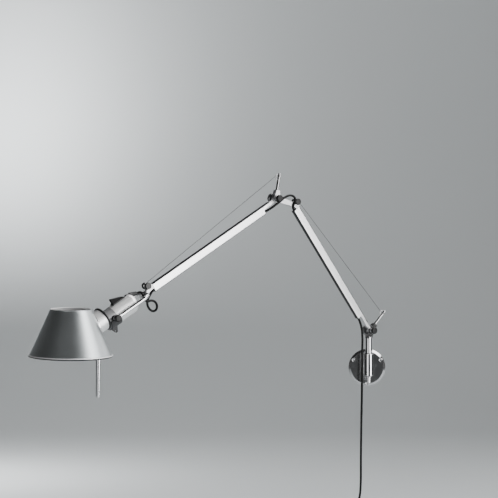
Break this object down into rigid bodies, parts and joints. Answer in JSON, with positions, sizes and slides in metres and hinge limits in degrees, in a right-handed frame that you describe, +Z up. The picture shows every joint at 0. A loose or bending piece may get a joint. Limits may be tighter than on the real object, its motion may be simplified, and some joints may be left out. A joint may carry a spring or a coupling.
{
  "type": "articulating wall lamp",
  "caption": "Wall lamp on a round plate: swivelling stem, two wire-balanced arms with strut outriggers, forked tilting head, cone shade with a grab rod, and a mains cord.",
  "frame": {"origin": "centre of the wall plate's back face", "axes": "+Y into the wall, +Z up, -Y out into the room; the arms at rest point 35 degrees off -X towards the room"},
  "size_m": [0.7878, 0.6037, 0.981],
  "materials": {
    "satin_aluminium": "satin brushed",
    "arm_satin": "satin anodised",
    "bright_steel": "polished",
    "machined_steel": "turned",
    "shade_grey": "matt metallic",
    "dark_grey": "satin",
    "black_plastic": "moulded",
    "black_gloss": "gloss",
    "cord_black": "matt",
    "spring_wire": "drawn",
    "lens_white": "opal",
    "module_white": "moulded",
    "bush_bronze": "sintered"
  },
  "bodies": {
    "wall_bracket": {"wall_plate": "bright_steel", "plate_boss": "bright_steel", "pivot_sleeve": "machined_steel", "sleeve_bushes": "black_plastic", "drop_cord": "cord_black", "cord_coil": "cord_black", "cord_tie": "black_plastic", "mains_plug": "black_plastic", "plug_pins": "bright_steel"},
    "stem": {"stem": "bright_steel", "stem_retainer": "machined_steel", "base_strut": "bright_steel", "base_wire_anchor": "machined_steel", "base_bolt": "machined_steel", "base_cap": "black_plastic", "tail_cord": "cord_black"},
    "base_knob": {"base_knob": "machined_steel"},
    "lower_arm": {"lower_tube": "arm_satin", "base_eye": "satin_aluminium", "elbow_link": "satin_aluminium", "lower_roller_axle": "black_gloss", "lower_spring": "spring_wire", "lower_inner_cable": "cord_black", "elbow_strut": "bright_steel", "elbow_wire_anchor": "machined_steel", "elbow_bolt": "machined_steel", "elbow_cap": "black_plastic", "lower_span_wire": "spring_wire"},
    "lower_roller": {"lower_roller": "machined_steel"},
    "elbow_knob": {"elbow_knob": "machined_steel"},
    "upper_arm": {"upper_tube": "arm_satin", "elbow_eye": "satin_aluminium", "nose_fitting": "satin_aluminium", "upper_roller_axle": "black_gloss", "upper_spring": "spring_wire", "upper_inner_cable": "cord_black", "upper_span_wire": "spring_wire", "elbow_cable": "cord_black", "loop_cable": "cord_black"},
    "upper_roller": {"upper_roller": "machined_steel"},
    "head_fork": {"fork": "bright_steel"},
    "head": {"head_collar": "dark_grey", "rear_housing": "satin_aluminium", "cable_gland": "black_plastic", "front_ring": "black_gloss", "tilt_bracket": "dark_grey", "head_bolts": "machined_steel", "head_cap": "black_plastic", "switch_bezel": "black_gloss", "gland_cable": "cord_black"},
    "head_knob": {"head_knob": "machined_steel"},
    "switch": {"switch_rocker": "black_plastic"},
    "shade": {"shade_cone": "shade_grey", "shade_neck": "satin_aluminium", "neck_flange": "satin_aluminium", "lamp_carrier": "dark_grey", "top_disc": "dark_grey", "lamp_module": "module_white", "lenses": "lens_white", "handle_rod": "bright_steel"}
  },
  "joints": [
    {"name": "stem_swivel", "type": "hinge", "parent": "wall_bracket", "child": "stem", "pos_m": [0, -0.058, 0], "axis": [0, 0, 1], "range_deg": [-25, 135], "deforming": ["drop_cord"]},
    {"name": "base_tilt", "type": "hinge", "parent": "stem", "child": "lower_arm", "pos_m": [0.0041, -0.05513, 0.091], "axis": [0.5736, -0.8192, 0], "range_deg": [-38, 50], "deforming": ["tail_cord", "lower_span_wire"]},
    {"name": "base_knob_turn", "type": "hinge", "parent": "stem", "child": "base_knob", "pos_m": [0.0041, -0.05513, 0.091], "axis": [-0.5736, 0.8192, 0], "range_deg": [-120, 120]},
    {"name": "lower_roller_spin", "type": "hinge", "parent": "lower_arm", "child": "lower_roller", "pos_m": [-0.17434, -0.18008, 0.39137], "axis": [0.5736, -0.8192, 0], "continuous": true},
    {"name": "elbow_tilt", "type": "hinge", "parent": "lower_arm", "child": "upper_arm", "pos_m": [-0.22185, -0.21334, 0.39794], "axis": [-0.5736, 0.8192, 0], "range_deg": [-60, 80], "deforming": ["elbow_cable", "upper_span_wire"]},
    {"name": "elbow_knob_turn", "type": "hinge", "parent": "lower_arm", "child": "elbow_knob", "pos_m": [-0.22185, -0.21334, 0.39794], "axis": [-0.5736, 0.8192, 0], "range_deg": [-120, 120]},
    {"name": "upper_roller_spin", "type": "hinge", "parent": "upper_arm", "child": "upper_roller", "pos_m": [-0.50278, -0.41005, 0.2039], "axis": [-0.5736, 0.8192, 0], "continuous": true},
    {"name": "fork_swivel", "type": "hinge", "parent": "upper_arm", "child": "head_fork", "pos_m": [-0.50934, -0.41464, 0.1859], "axis": [-0.7073, -0.4952, -0.5045], "range_deg": [-90, 90], "deforming": ["loop_cable"]},
    {"name": "head_tilt", "type": "hinge", "parent": "head_fork", "child": "head", "pos_m": [-0.57724, -0.46219, 0.13747], "axis": [0.5736, -0.8192, 0], "range_deg": [-70, 85], "deforming": ["gland_cable"]},
    {"name": "head_knob_turn", "type": "hinge", "parent": "head", "child": "head_knob", "pos_m": [-0.57724, -0.46219, 0.13747], "axis": [-0.5736, 0.8192, 0], "range_deg": [-120, 120]},
    {"name": "switch_rock", "type": "hinge", "parent": "head", "child": "switch", "pos_m": [-0.56229, -0.45172, 0.17263], "axis": [0.5736, -0.8192, 0], "range_deg": [0, 12]},
    {"name": "shade_turn", "type": "hinge", "parent": "head", "child": "shade", "pos_m": [-0.59228, -0.47272, 0.13519], "axis": [-0.7073, -0.4952, -0.5045], "range_deg": [-170, 170]}
  ]
}
